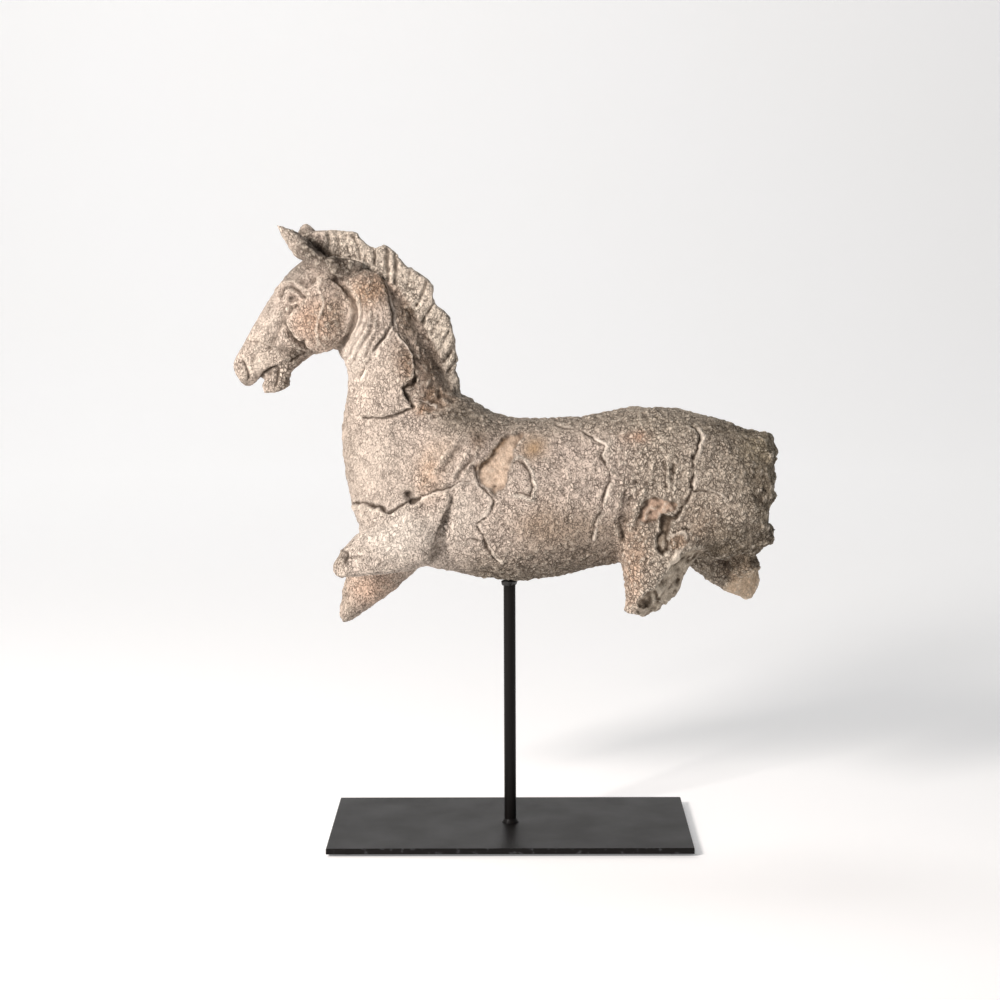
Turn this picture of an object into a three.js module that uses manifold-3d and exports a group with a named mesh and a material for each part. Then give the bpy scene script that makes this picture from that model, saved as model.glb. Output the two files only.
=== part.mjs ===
// A horse figure fragment of fired clay, held by a steel rod on a flat steel plate.
// Millimetres, +Z up. The figure faces -X and its plane of symmetry is Y = 0.
// The origin is on the ground, under the middle of the plate.

import * as THREE from 'three';
import { LoftGeometry } from 'three/addons/geometries/LoftGeometry.js';
import { mergeVertices } from 'three/addons/utils/BufferGeometryUtils.js';
import Module from 'manifold-3d';

// Stand
const padRadius = 11;
const padHeight = 2;
const padInset = 17.5;
const plateLength = 300;
const plateDepth = 150;
const plateThickness = 5;
const plateEdge = 0.6;
const rodRadius = 5;
const rodTop = 226;
const weldRadius = 7.2;
const weldHeight = 3;
const beadRadius = 7;
const beadBottom = 209.6;
const beadTop = 215;
const gap = 0.3;

// Figure
const ringPoints = 22;
const maneThickness = 15;
const maneGrooves = 11;
const grooveWidth = 4;
const grooveDepth = 1.6;
const earSpread = 19;
const legSpread = 33;
const hindSpread = 29;
const cheekSpread = 13;
const breakKnobDepth = 13;

const clay = new THREE.MeshStandardMaterial({ color: '#bcaa99', roughness: 0.9, metalness: 0 });
const blackPaint = new THREE.MeshStandardMaterial({ color: '#1d1d1f', roughness: 0.45, metalness: 0 });
const blackRubber = new THREE.MeshStandardMaterial({ color: '#161616', roughness: 0.9, metalness: 0 });
const blackGlue = new THREE.MeshStandardMaterial({ color: '#141312', roughness: 0.6, metalness: 0 });

const wasm = await Module();
wasm.setup();

// A closed three.js geometry as a solid that can be joined and cut.
function toSolid(geometry) {
  const bare = new THREE.BufferGeometry().copy(geometry);
  bare.deleteAttribute('normal');
  bare.deleteAttribute('uv');
  const merged = mergeVertices(bare, 1e-3);
  return new wasm.Manifold(new wasm.Mesh({
    numProp: 3,
    vertProperties: new Float32Array(merged.attributes.position.array),
    triVerts: new Uint32Array(merged.index.array),
  }));
}

function toGeometry(solid) {
  const mesh = solid.getMesh();
  const geometry = new THREE.BufferGeometry();
  geometry.setAttribute('position', new THREE.BufferAttribute(mesh.vertProperties, 3));
  geometry.setIndex(new THREE.BufferAttribute(mesh.triVerts, 1));
  geometry.computeVertexNormals();
  return geometry;
}

// One row is a section: its two edge points in side view (x, z), its half width,
// and how far its middle stands off the plane of symmetry.
// Rows are joined by smooth curves. squareness 2 is an ellipse, and more is boxier.
function limb(rows, { steps = 12, squareness = 2.2, points = ringPoints } = {}) {
  const curveOf = (pick) => new THREE.CatmullRomCurve3(rows.map((row) => new THREE.Vector3(...pick(row))));
  const firstEdge = curveOf(([x, z]) => [x, 0, z]);
  const secondEdge = curveOf(([, , x, z]) => [x, 0, z]);
  const widths = curveOf(([, , , , halfWidth, offset = 0]) => [halfWidth, offset, 0]);
  const sections = [];
  for (let step = 0; step <= steps; step++) {
    const first = firstEdge.getPoint(step / steps);
    const second = secondEdge.getPoint(step / steps);
    const width = widths.getPoint(step / steps);
    const middle = first.clone().add(second).multiplyScalar(0.5);
    middle.y = width.y;
    sections.push({ middle, up: first.sub(second).multiplyScalar(0.5), halfWidth: width.x });
  }
  const along = sections[steps].middle.clone().sub(sections[0].middle);
  const sideways = new THREE.Vector3(0, 1, 0);
  if (sideways.clone().cross(sections[0].up).dot(along) < 0) sideways.negate();
  const rings = sections.map(({ middle, up, halfWidth }) => {
    const ring = [];
    for (let point = 0; point < points; point++) {
      const angle = (point / points) * Math.PI * 2;
      const across = Math.sign(Math.cos(angle)) * Math.abs(Math.cos(angle)) ** (2 / squareness);
      const upward = Math.sign(Math.sin(angle)) * Math.abs(Math.sin(angle)) ** (2 / squareness);
      ring.push(middle.clone().addScaledVector(sideways, across * halfWidth).addScaledVector(up, upward));
    }
    return ring;
  });
  return toSolid(new LoftGeometry(rings, { capStart: true, capEnd: true }));
}

// A rounded lump: a sphere stretched to three half sizes and turned in side view.
function lump([x, y, z], [a, b, c], tilt = 0, detail = 12) {
  const geometry = new THREE.SphereGeometry(1, detail * 2, detail);
  geometry.scale(a, b, c);
  geometry.rotateY(THREE.MathUtils.degToRad(tilt));
  geometry.translate(x, y, z);
  return toSolid(geometry);
}

// A flat piece cut to an outline in side view (x, z) and centred on Y = middle.
function plateOf(outline, thickness, bevel, middle = 0) {
  const shape = new THREE.Shape(outline.map(([x, z]) => new THREE.Vector2(x, z)));
  const geometry = new THREE.ExtrudeGeometry(shape, {
    depth: thickness - 2 * bevel,
    bevelThickness: bevel,
    bevelSize: bevel,
    bevelOffset: -bevel,
    bevelSegments: 2,
  });
  geometry.rotateX(Math.PI / 2);
  geometry.translate(0, middle + thickness / 2 - bevel, 0);
  return toSolid(geometry);
}

// Chest to rump. Each row: top edge, bottom edge, half width.
function torso() {
  return limb([
    [-112, 345, -110, 262, 26],
    [-100, 366, -98, 238, 40],
    [-76, 380, -76, 228.5, 50],
    [-50, 375, -52, 224.3, 53],
    [-30, 366.2, -30, 219, 54],
    [-8, 353.8, -8, 216, 54],
    [14, 350.6, 14, 215.8, 54.5],
    [45, 350.6, 45, 220.5, 54],
    [75, 354.3, 75, 228.2, 54],
    [105, 359.8, 105, 233, 55.5],
    [135, 358.4, 135, 236, 57],
    [160, 353.2, 160, 232, 57],
    [184, 346, 184, 232, 54],
    [203, 339.4, 203, 237, 49],
    [214, 334.5, 211, 246, 43],
    [219, 329, 212, 262, 30],
  ], { steps: 25 });
}

// Breast to poll, in level sections. Each row: front edge, back edge, half width.
function neck() {
  return limb([
    [-117, 250, -60, 250, 34],
    [-125, 263, -45, 263, 43],
    [-132, 285, -30, 285, 48],
    [-135.8, 310, -22, 310, 49],
    [-138.6, 332, -24, 332, 46],
    [-136.2, 354, -32, 354, 38.5],
    [-132.3, 378, -43, 374, 32],
    [-134.6, 398, -55, 394, 28.5],
    [-143, 410, -64, 410, 26.5],
    [-146, 434, -76, 434, 24.5],
    [-146, 455, -92, 453, 22.5],
    [-142, 468, -104, 467, 18.5],
    [-136, 477, -118, 477, 11],
  ], { steps: 24 });
}

// Poll to muzzle. Each row: forehead edge, jaw edge, half width.
function head() {
  return limb([
    [-128, 475, -120, 436, 12],
    [-146, 480, -133, 412, 19],
    [-165, 481.6, -147, 408.2, 22.5],
    [-180, 470.6, -160, 404.6, 23],
    [-189.2, 458.5, -171, 397.2, 21.5],
    [-199.6, 443.5, -182, 388.6, 19.5],
    [-209.5, 426.5, -193, 387.5, 17.5],
    [-215.6, 416, -203, 384.2, 16],
    [-221, 407.6, -211, 378.2, 14.5],
    [-225.8, 400.2, -216.6, 376.8, 12],
    [-227.2, 395, -220.8, 382.5, 8],
  ], { steps: 20, squareness: 2.4 });
}

// The stub of the lower jaw, left after the lower lip broke off.
function lowerJaw() {
  const outline = [
    [-176, 404], [-190, 399], [-196, 389], [-203.2, 379], [-202.2, 376.2],
    [-201.6, 371.2], [-190, 373.6], [-181.2, 378], [-182, 388.5], [-170, 397],
  ];
  return plateOf(outline, 25, 2.5);
}

// The upright mane, a plate with a worn scalloped crest.
function mane() {
  const crest = [
    [-164, 505], [-150, 505.2], [-137, 505.2], [-123, 503.2], [-119.5, 498], [-113, 492.4], [-107, 490.6],
    [-101, 493.8], [-97, 490.8], [-91.5, 487], [-86, 478.5], [-82, 475.4], [-76, 473], [-65, 465.2],
    [-60, 459], [-62, 451.5], [-59.5, 443.6], [-49, 435], [-47, 425.5], [-43.5, 412], [-41.2, 399.3],
    [-44, 391.2], [-40.6, 382.5], [-40, 371],
  ];
  const root = [[-60, 366], [-75, 400], [-100, 440], [-124, 464], [-150, 470], [-166, 478]];
  return plateOf([...crest, ...root], maneThickness, 3.5);
}

// Cutters for the grooves on both faces of the mane, running from its crest down to its root.
function maneGrooveCutters() {
  const crest = [[-148, 508], [-114, 494], [-86, 482], [-58, 456], [-44, 424], [-38, 388]];
  const root = [[-141, 478], [-115, 471], [-93, 457], [-74, 434], [-60, 408], [-48, 384]];
  const curveOf = (points) => new THREE.SplineCurve(points.map((point) => new THREE.Vector2(...point)));
  const [top, bottom] = [curveOf(crest), curveOf(root)];
  const cutters = [];
  for (let groove = 0; groove < maneGrooves; groove++) {
    const start = top.getPoint((groove + 0.3) / maneGrooves);
    const end = bottom.getPoint((groove + 0.5) / maneGrooves);
    const slope = Math.atan2(start.x - end.x, start.y - end.y);
    for (const side of [-1, 1]) {
      const cutter = new THREE.CylinderGeometry(1, 1, start.distanceTo(end) + 3, 4);
      cutter.rotateX(Math.PI / 2);
      cutter.scale(grooveWidth / 2, grooveDepth, 1);
      cutter.rotateY(slope);
      cutter.translate((start.x + end.x) / 2, side * maneThickness / 2, (start.y + end.y) / 2);
      cutters.push(toSolid(cutter));
    }
  }
  return cutters;
}

// The near ear is leaf-shaped and laid back, and the far one is a worn stub.
function nearEar() {
  return limb([
    [-120, 479, -120, 474.5, 3, -earSpread + 5],
    [-131, 482, -131, 467.5, 8, -earSpread + 2],
    [-144, 483, -146, 467, 10, -earSpread],
    [-156, 491, -160, 477.5, 9.5, -earSpread],
    [-166, 501, -171, 482.5, 8, -earSpread],
    [-177, 507.2, -179.5, 495.5, 5.5, -earSpread],
    [-184, 510, -184.8, 504.6, 3, -earSpread],
    [-187, 511.2, -187.4, 509.4, 1.2, -earSpread],
  ], { steps: 13, points: 16 });
}

function farEar() {
  return limb([
    [-146, 484, -150, 468, 8, earSpread - 4],
    [-154, 498, -164, 480, 8, earSpread - 2],
    [-160, 506, -172, 497, 6.5, earSpread - 1],
    [-163, 509, -173, 504, 4.5, earSpread],
    [-166, 510.8, -171, 508.8, 2, earSpread],
  ], { steps: 7, points: 16 });
}

// The broken legs: forearms reach forward, and the hind pair is one down and one back.
function nearForearm() {
  return limb([
    [-56, 288, -60, 236, 17, -legSpread],
    [-76, 284, -79, 230, 22, -legSpread],
    [-98, 273, -97, 227, 22.5, -legSpread],
    [-118, 260.5, -116, 225.8, 21.5, -legSpread],
    [-130, 249.5, -129, 225.2, 20, -legSpread],
    [-137.6, 241, -136.4, 225, 17.5, -legSpread],
    [-141.5, 236, -140.5, 228, 12, -legSpread],
  ], { steps: 12, squareness: 2.8 });
}

function farForearm() {
  return limb([
    [-58, 285, -62, 236, 18, legSpread],
    [-80, 272, -78, 220, 22, legSpread],
    [-104, 254, -101, 199, 22.5, legSpread],
    [-124, 236, -123, 184, 21.5, legSpread],
    [-133.5, 222, -135.5, 175.5, 20, legSpread],
    [-140, 206, -142, 173, 16, legSpread],
    [-143.5, 192, -145, 177, 9, legSpread],
  ], { steps: 12, squareness: 2.8 });
}

function nearHindLeg() {
  return limb([
    [91, 276, 168, 276, 20, -legSpread],
    [89.9, 247, 161, 250, 23.5, -legSpread],
    [91.3, 234, 150, 232, 23.5, -legSpread],
    [94.3, 222, 143.6, 222, 22.5, -legSpread],
    [94.8, 211, 141.6, 213, 21, -legSpread],
    [93.6, 201, 135, 208, 19.5, -legSpread],
    [93.4, 194.4, 123, 198.5, 17, -legSpread],
  ], { steps: 11, squareness: 3 });
}

function farHindLeg() {
  return limb([
    [120, 300, 128, 246, 18, hindSpread],
    [150, 290, 152, 222.5, 22, hindSpread],
    [172, 268, 172, 207.6, 22, hindSpread],
    [194, 246, 190, 197.6, 20, hindSpread],
    [207, 228, 202, 192.6, 16, hindSpread],
    [210.8, 213, 208.4, 197, 10, hindSpread],
  ], { steps: 11, squareness: 2.6 });
}

// The break behind the rump: knobs of torn clay in four tiers, each with three knobs across.
// One tier: middle (x, z) and half sizes along X and Z.
function rearBreak() {
  const tiers = [[211, 320, 12.5, 12], [212.5, 303, 11, 9], [212.5, 286, 11.4, 9.5], [210.5, 257, 13, 10]];
  const pieces = [];
  tiers.forEach(([x, z, length, height], tier) => {
    for (const across of [-1, 0, 1]) {
      const shift = 2.5 * Math.sin(tier * 2.3 + across * 1.9) * Math.abs(across);
      const middle = [x - 4 * Math.abs(across), across * 26, z + shift];
      pieces.push(lump(middle, [length, breakKnobDepth, height], 0, 4));
    }
  });
  pieces.push(lump([197, 4, 227], [14.5, 22, 11.5], 0, 5));
  return pieces;
}

function cheeks() {
  return [-1, 1].map((side) => lump([-153, side * cheekSpread, 437.5], [25.8, 15.2, 28.6], 8, 9));
}

function eyesAndBrows() {
  return [-1, 1].flatMap((side) => [
    lump([-178, side * 20.6, 450.8], [4.4, 3.4, 3.6], 0, 6),
    lump([-176.5, side * 20.2, 458.5], [8.5, 3.4, 2.6], 12, 5),
  ]);
}

// Hollows: nostrils, and on the near side the two places where the skin of the clay has flaked off.
function hollows() {
  const nostrils = [-1, 1].map((side) => lump([-219.5, side * 11.5, 394], [1.8, 3, 7.5], -14, 5));
  const barrelFlake = lump([-7, -60.5, 320], [34, 10, 17], -50, 6);
  const thighFlake = lump([115, -66, 275], [25, 12, 17], 20, 6);
  return [...nostrils, barrelFlake, thighFlake];
}

function horse() {
  const pieces = [
    torso(), neck(), head(), lowerJaw(), mane(), nearEar(), farEar(),
    nearForearm(), farForearm(), nearHindLeg(), farHindLeg(),
    ...rearBreak(), ...cheeks(), ...eyesAndBrows(),
  ];
  let body = pieces[0];
  for (const piece of pieces.slice(1)) body = body.add(piece);
  for (const cutter of [...maneGrooveCutters(), ...hollows()]) body = body.subtract(cutter);
  const socket = new THREE.CylinderGeometry(rodRadius + gap, rodRadius + gap, 40, 24);
  socket.rotateX(Math.PI / 2);
  socket.translate(0, 0, rodTop + gap - 20);
  return toGeometry(body.subtract(toSolid(socket)));
}

// The rod, with a small weld flare at its foot.
function rod() {
  const foot = padHeight + plateThickness + gap;
  return lathe([
    [0, foot], [weldRadius, foot], [weldRadius - 0.8, foot + 1], [rodRadius + 0.6, foot + weldHeight * 0.7],
    [rodRadius, foot + weldHeight], [rodRadius, rodTop], [0, rodTop],
  ]);
}

// The ragged bead of glue round the rod, just under the belly.
function glueBead() {
  const inner = rodRadius + gap;
  const middle = (beadBottom + beadTop) / 2;
  const geometry = lathe([
    [inner, beadBottom], [beadRadius - 0.7, beadBottom + 0.8], [beadRadius, middle], [beadRadius, beadTop],
    [inner, beadTop], [inner, beadBottom],
  ], 20);
  const points = geometry.attributes.position;
  for (let index = 0; index < points.count; index++) {
    const x = points.getX(index);
    const y = points.getY(index);
    const radius = Math.hypot(x, y);
    if (radius < inner + 0.1) continue;
    const angle = Math.atan2(y, x);
    const ragged = 1 + 0.09 * Math.cos(angle) + 0.05 * Math.sin(3 * angle + 1) + 0.03 * Math.sin(7 * angle);
    points.setX(index, x * ragged);
    points.setY(index, y * ragged);
  }
  return geometry;
}

// A turned piece. Each profile point is a radius and a height.
function lathe(profile, segments = 24) {
  const geometry = new THREE.LatheGeometry(profile.map(([r, z]) => new THREE.Vector2(r, z)), segments);
  return geometry.rotateX(Math.PI / 2);
}

function basePlate() {
  const x = plateLength / 2 - plateEdge;
  const y = plateDepth / 2 - plateEdge;
  const shape = new THREE.Shape([[-x, -y], [x, -y], [x, y], [-x, y]].map((corner) => new THREE.Vector2(...corner)));
  return new THREE.ExtrudeGeometry(shape, {
    depth: plateThickness - 2 * plateEdge,
    bevelThickness: plateEdge,
    bevelSize: plateEdge,
    bevelSegments: 2,
  });
}

const group = new THREE.Group();

function addNode(name, geometry, material, [x, y, z] = [0, 0, 0]) {
  const mesh = new THREE.Mesh(geometry, material);
  mesh.name = name;
  mesh.position.set(x, y, z);
  group.add(mesh);
}

addNode('horse', horse(), clay);
addNode('rod', rod(), blackPaint);
addNode('glue_bead', glueBead(), blackGlue);
addNode('base_plate', basePlate(), blackPaint, [0, 0, padHeight + plateEdge]);

const padX = plateLength / 2 - padInset;
const padY = plateDepth / 2 - padInset;
const corners = [[-padX, -padY], [padX, -padY], [-padX, padY], [padX, padY]];
corners.forEach(([x, y], corner) => {
  const pad = new THREE.CylinderGeometry(padRadius, padRadius, padHeight - gap, 24).rotateX(Math.PI / 2);
  addNode(`foot_pad_${corner + 1}`, pad, blackRubber, [x, y, (padHeight - gap) / 2]);
});

export default group;
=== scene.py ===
# A fired-clay horse fragment on a thin black rod and a flat black plate.

import math

import bmesh
import bpy
import numpy as np
from mathutils import Matrix, Vector


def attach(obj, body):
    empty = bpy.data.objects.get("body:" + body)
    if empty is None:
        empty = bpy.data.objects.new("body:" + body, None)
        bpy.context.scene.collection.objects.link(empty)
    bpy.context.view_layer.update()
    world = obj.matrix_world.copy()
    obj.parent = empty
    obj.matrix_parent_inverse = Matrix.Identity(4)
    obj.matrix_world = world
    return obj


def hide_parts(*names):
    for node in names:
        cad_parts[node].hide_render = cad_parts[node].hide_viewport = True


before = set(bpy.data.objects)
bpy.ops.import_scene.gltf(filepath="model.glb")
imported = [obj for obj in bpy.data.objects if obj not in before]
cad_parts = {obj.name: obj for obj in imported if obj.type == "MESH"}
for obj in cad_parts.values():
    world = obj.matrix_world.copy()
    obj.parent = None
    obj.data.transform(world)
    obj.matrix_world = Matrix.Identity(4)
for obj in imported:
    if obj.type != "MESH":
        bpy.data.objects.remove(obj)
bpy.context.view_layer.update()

mm = 0.001
scene = bpy.context.scene


def linear(hexColour):  # sRGB hex to linear RGBA
    values = [int(hexColour[i:i + 2], 16) / 255 for i in (1, 3, 5)]
    return tuple(v / 12.92 if v <= 0.04045 else ((v + 0.055) / 1.055) ** 2.4 for v in values) + (1.0,)


def addNode(tree, kind, settings=None, inputs=None):
    node = tree.nodes.new(kind)
    for name, value in (settings or {}).items():
        setattr(node, name, value)
    for name, value in (inputs or {}).items():
        if isinstance(value, bpy.types.NodeSocket):
            tree.links.new(value, node.inputs[name])
        else:
            node.inputs[name].default_value = value
    return node


def newMaterial(name):
    material = bpy.data.materials.new(name)
    material.use_nodes = True
    tree = material.node_tree
    shader = tree.nodes["Principled BSDF"]
    place = addNode(tree, "ShaderNodeTexCoord").outputs["Object"]
    return material, tree, shader, place


def link(tree, output, node, socket):
    tree.links.new(output, node.inputs[socket])


def addObject(name, data):
    item = bpy.data.objects.new(name, data)
    scene.collection.objects.link(item)
    return item


def finishMesh(bm, name):
    mesh = bpy.data.meshes.new(name)
    bm.to_mesh(mesh)
    bm.free()
    return mesh


view = {  # metres and degrees
    "place": (0.0061, -1.7200, 0.5230),
    "down": 7.957,  # degrees below level
    "turn": 0.457,
    "roll": -0.237,
    "lens": 75.32,
}


def makeCamera():
    data = bpy.data.cameras.new("camera")
    data.lens = view["lens"]
    data.sensor_width = 36
    data.clip_end = 50
    camera = addObject("camera", data)
    turn = Matrix.Rotation(math.radians(view["turn"]), 4, "Z")
    tilt = Matrix.Rotation(math.radians(90 - view["down"]), 4, "X")
    roll = Matrix.Rotation(math.radians(view["roll"]), 4, "Z")
    camera.matrix_world = Matrix.Translation(view["place"]) @ turn @ tilt @ roll
    scene.camera = camera


makeCamera()
print("camera placed")

studio = {
    "floorHalf": 6.0,
    "floorFront": 14.0,
    "wallAt": 3.6,
    "bend": 1.2,
    "bendSteps": 12,
    "wallTop": 5.0,
    "floorColour": "#EFEEEE",
    "floorCloudy": "#EEEDEB",
    "floorCloud": 333,  # size of the faint clouds in the paper, in millimetres
    "floorGlow": 0.2,  # the sweep is lit well past white in a studio, and this stands in for that
    "sky": "#FBFCFF",
    "skyStrength": 0.27,
}

lamps = {
    "key": {
        "at": (-0.95, -0.95, 0.93),
        "aim": (-0.02, 0, 0.33),
        "size": 0.34,
        "watts": 28,
        "colour": "#FFF8F4",
    },
    "wall": {
        "at": (-1.2, 1.9, 3.4),
        "aim": (0.25, 3.4, 0.6),
        "size": 2.0,
        "watts": 50,
        "colour": "#FFFFFF",
    },
}


def makeSweep():
    half = studio["floorHalf"]
    wallAt = studio["wallAt"]
    bend = studio["bend"]
    steps = studio["bendSteps"]
    bm = bmesh.new()
    line = [Vector((-half, -studio["floorFront"], 0)), Vector((-half, wallAt - bend, 0))]
    for step in range(1, steps + 1):
        angle = math.radians(90 * step / steps)
        line.append(Vector((-half, wallAt - bend + bend * math.sin(angle), bend - bend * math.cos(angle))))
    line.append(Vector((-half, wallAt, studio["wallTop"])))
    points = [bm.verts.new(p) for p in line]
    edges = [bm.edges.new(pair) for pair in zip(points, points[1:])]
    moved = bmesh.ops.extrude_edge_only(bm, edges=edges)["geom"]
    farSide = [v for v in moved if isinstance(v, bmesh.types.BMVert)]
    bmesh.ops.translate(bm, verts=farSide, vec=(2 * half, 0, 0))
    bmesh.ops.recalc_face_normals(bm, faces=bm.faces)
    mesh = finishMesh(bm, "sweep")
    mesh.shade_smooth()
    # seamless paper: dull, with barely a cloud in its white
    material, tree, shader, place = newMaterial("matte paper sweep")
    cloud = addNode(tree, "ShaderNodeTexNoise", inputs={
        "Vector": place, "Scale": 1 / (studio["floorCloud"] * mm), "Detail": 2.0})
    tone = addNode(tree, "ShaderNodeMix", {"data_type": "RGBA"}, {
        "Factor": cloud.outputs["Fac"],
        "A": linear(studio["floorColour"]),
        "B": linear(studio["floorCloudy"]),
    })
    link(tree, tone.outputs["Result"], shader, "Base Color")
    shader.inputs["Roughness"].default_value = 0.9
    shader.inputs["Specular IOR Level"].default_value = 0.2
    shader.inputs["Emission Color"].default_value = (1, 1, 1, 1)
    shader.inputs["Emission Strength"].default_value = studio["floorGlow"]
    mesh.materials.append(material)
    addObject("sweep", mesh)


def makeLights():
    for name, lamp in lamps.items():
        data = bpy.data.lights.new(name, "AREA")
        data.size = lamp["size"]
        data.energy = lamp["watts"]
        data.color = linear(lamp["colour"])[:3]
        light = addObject(name, data)
        light.location = lamp["at"]
        aim = Vector(lamp["aim"]) - Vector(lamp["at"])
        light.rotation_euler = aim.to_track_quat("-Z", "Y").to_euler()
    world = bpy.data.worlds.new("studio")
    scene.world = world
    world.use_nodes = True
    background = world.node_tree.nodes["Background"]
    background.inputs["Color"].default_value = linear(studio["sky"])
    background.inputs["Strength"].default_value = studio["skyStrength"]
    scene.view_settings.view_transform = "Standard"


makeSweep()
makeLights()
print("stage and lights made")

# from here on, points, sizes and distances are in millimetres
noiseCells = 32  # after which the lumps repeat
# turns the noise, so that its lumps don't line up with the axes
noiseTurn = np.array(Matrix.Rotation(0.9, 3, Vector((0.4, 1.0, 0.7))))


def softNoise(points, size, seed):  # smooth random lumps of about that size, from -1 to 1
    table = np.random.default_rng(seed).uniform(-1, 1, (noiseCells,) * 3)
    scaled = points @ noiseTurn / size
    cell = np.floor(scaled).astype(int)
    blend = scaled - cell
    blend = blend * blend * (3 - 2 * blend)
    total = np.zeros(len(points))
    for corner in np.ndindex(2, 2, 2):
        weight = np.prod(np.where(corner, blend, 1 - blend), axis=1)
        index = (cell + corner) % noiseCells
        total += weight * table[index[:, 0], index[:, 1], index[:, 2]]
    return total


def ramp(values, low, high):  # smooth 0 to 1 as values go from low to high
    t = np.clip((values - low) / (high - low), 0, 1)
    return t * t * (3 - 2 * t)


strokeReach = 15  # past which a stroke does nothing
farOff = 1e3


def strokeDistance(flat, points, closed=False):  # distance in side view to a line of points
    ring = np.array(list(points) + ([points[0]] if closed else []), float)
    low = ring.min(axis=0) - strokeReach
    high = ring.max(axis=0) + strokeReach
    close = np.all((flat > low) & (flat < high), axis=1)
    here = flat[close]
    best = np.full(len(here), farOff)
    for start, end in zip(ring, ring[1:]):
        along = end - start
        t = np.clip(((here - start) @ along) / (along @ along), 0, 1)
        best = np.minimum(best, np.hypot(*(here - start - t[:, None] * along).T))
    nearest = np.full(len(flat), farOff)
    nearest[close] = best
    return nearest


def insideOutline(flat, points):  # signed distance: above 0 inside the outline
    inside = np.zeros(len(flat), bool)
    for (x0, z0), (x1, z1) in zip(points, points[1:] + points[:1]):
        if z0 == z1:
            continue
        crosses = (flat[:, 1] > min(z0, z1)) & (flat[:, 1] <= max(z0, z1))
        inside ^= crosses & (flat[:, 0] < x0 + (flat[:, 1] - z0) * (x1 - x0) / (z1 - z0))
    return np.where(inside, 1, -1) * strokeDistance(flat, points, closed=True)


def bump(distance, width):  # 1 on a line, falling off smoothly over the width
    return np.exp(-(distance / width) ** 2)


def stroke(flat, route, width):
    return bump(strokeDistance(flat, route), width)


horse = {
    "voxel": 1.2,  # fineness of the clay
    "softenPasses": 40,
    "softenShare": 0.6,
    "maneTaper": 0.3,  # share of its thickness that the mane loses towards its crest
    "triangles": 190000,
    "reach": (-226.9, 223.6),  # the torn clay keeps within the figure's own length
    # the carving is laid out on the middle plane, as seen from this place in front of the figure
    "seenFrom": (6.1, 1720, 523),
    # the mane's root line, from the withers up to the poll
    "maneRoot": [(-42, 366), (-46, 374), (-60, 408), (-76, 434), (-92, 460), (-118, 472), (-150, 478)],
    "eye": (-178, 450),
    "knob": (-181, 441),
    "cheekSeam": [(-153, 468), (-154, 463), (-156, 458), (-153, 451), (-151, 445), (-153, 438), (-157, 432),
                  (-158, 426), (-156, 420), (-157, 413)],
}

# plates of the surface that stand proud or lie low on both sides: height, edge width and outline
plates = [
    (2.6, 3.5, [(-152, 470), (-143, 463), (-136, 457), (-130, 449), (-128, 441), (-128, 433), (-131, 425),
                (-136, 417), (-142, 411), (-150, 407), (-160, 406), (-170, 413), (-178, 418), (-184, 427),
                (-182, 437), (-172, 444), (-164, 455), (-158, 464)]),  # cheek
    (2.2, 2.5, [(-136, 467), (-126, 470), (-116, 473), (-107, 471), (-101, 464), (-98, 455), (-97, 445),
                (-96, 436), (-96, 428), (-104, 416), (-112, 404), (-118, 392), (-126, 388), (-134, 398),
                (-136, 409), (-128, 424), (-123, 440), (-126, 452)]),  # muscle of the neck
    (1.5, 1.8, [(-95, 425), (-88, 420), (-81, 411), (-77, 401), (-76, 390), (-79, 381), (-87, 378),
                (-85, 368), (-81, 360), (-95, 353), (-110, 351), (-126, 354), (-128, 368), (-119, 388),
                (-112, 401)]),  # foot of the neck
    (-1.2, 3.0, [(-96, 460), (-87, 454), (-77, 440), (-68, 426), (-60, 408), (-52, 390), (-46, 374),
                 (-60, 364), (-72, 366), (-75, 380), (-75, 396), (-79, 409), (-86, 420),
                 (-95, 430)]),  # beside the mane
    (1.6, 1.6, [(-151, 481), (-147, 473), (-140, 467), (-128, 468), (-119, 471), (-116, 479), (-126, 483),
                (-140, 484)]),  # root of the ear
    (2.6, 2.6, [(-130, 279), (-108, 277), (-99, 273), (-90, 278), (-78, 281), (-66, 288), (-52, 291),
                (-49, 284), (-51, 274), (-56, 262), (-62, 246), (-67, 233), (-90, 225), (-150, 218),
                (-150, 240), (-122, 262)]),  # upper arm
]

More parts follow.
